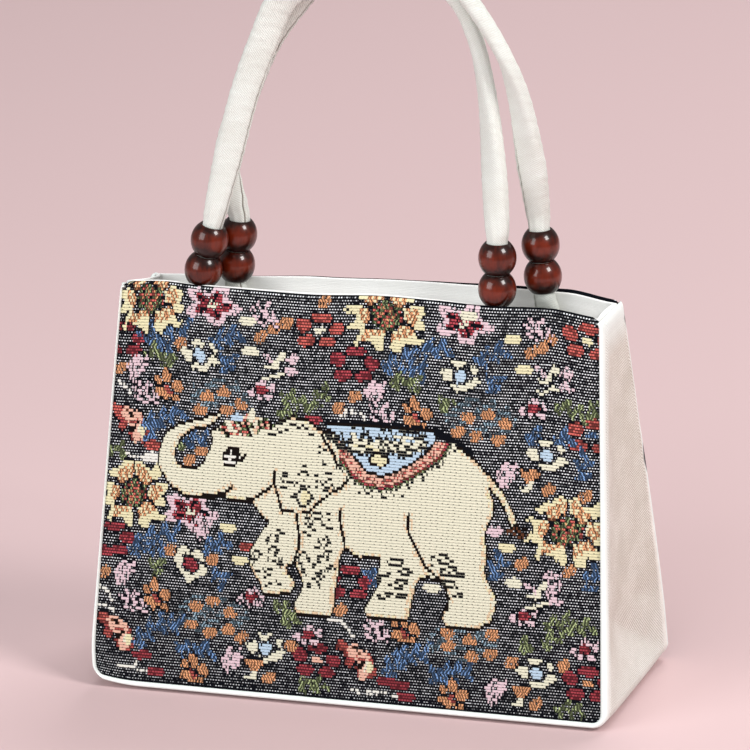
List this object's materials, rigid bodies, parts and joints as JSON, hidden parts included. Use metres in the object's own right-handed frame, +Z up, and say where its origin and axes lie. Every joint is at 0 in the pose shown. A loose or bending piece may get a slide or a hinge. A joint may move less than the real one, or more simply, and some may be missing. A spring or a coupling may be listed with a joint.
{
  "type": "fabric handbag",
  "caption": "Wedge-shaped tapestry handbag with a woven elephant and flower picture, canvas gusset, open mouth, arched tube handles and round wooden beads on the handle ends.",
  "frame": {"origin": "on the floor under the middle of the bag's base", "axes": "+Z up, +X to the right along the width seen from the front, +Y from the front panel to the back panel"},
  "size_m": [0.2596, 0.1074, 0.3642],
  "materials": {
    "tapestry": "woven jacquard with coloured floats on a dark dotted ground",
    "canvas": "cream cotton twill",
    "lining": "plain cream cotton",
    "handle_canvas": "cream cotton twill tube",
    "bead_wood": "dark red-brown lacquer"
  },
  "bodies": {
    "root": {"front_panel": "tapestry", "back_panel": "tapestry", "gusset": "canvas", "lining": "lining", "front_handle": "handle_canvas", "back_handle": "handle_canvas", "front_left_lower_bead": "bead_wood", "front_left_upper_bead": "bead_wood", "front_right_lower_bead": "bead_wood", "front_right_upper_bead": "bead_wood", "back_left_lower_bead": "bead_wood", "back_left_upper_bead": "bead_wood", "back_right_lower_bead": "bead_wood", "back_right_upper_bead": "bead_wood"}
  },
  "joints": []
}
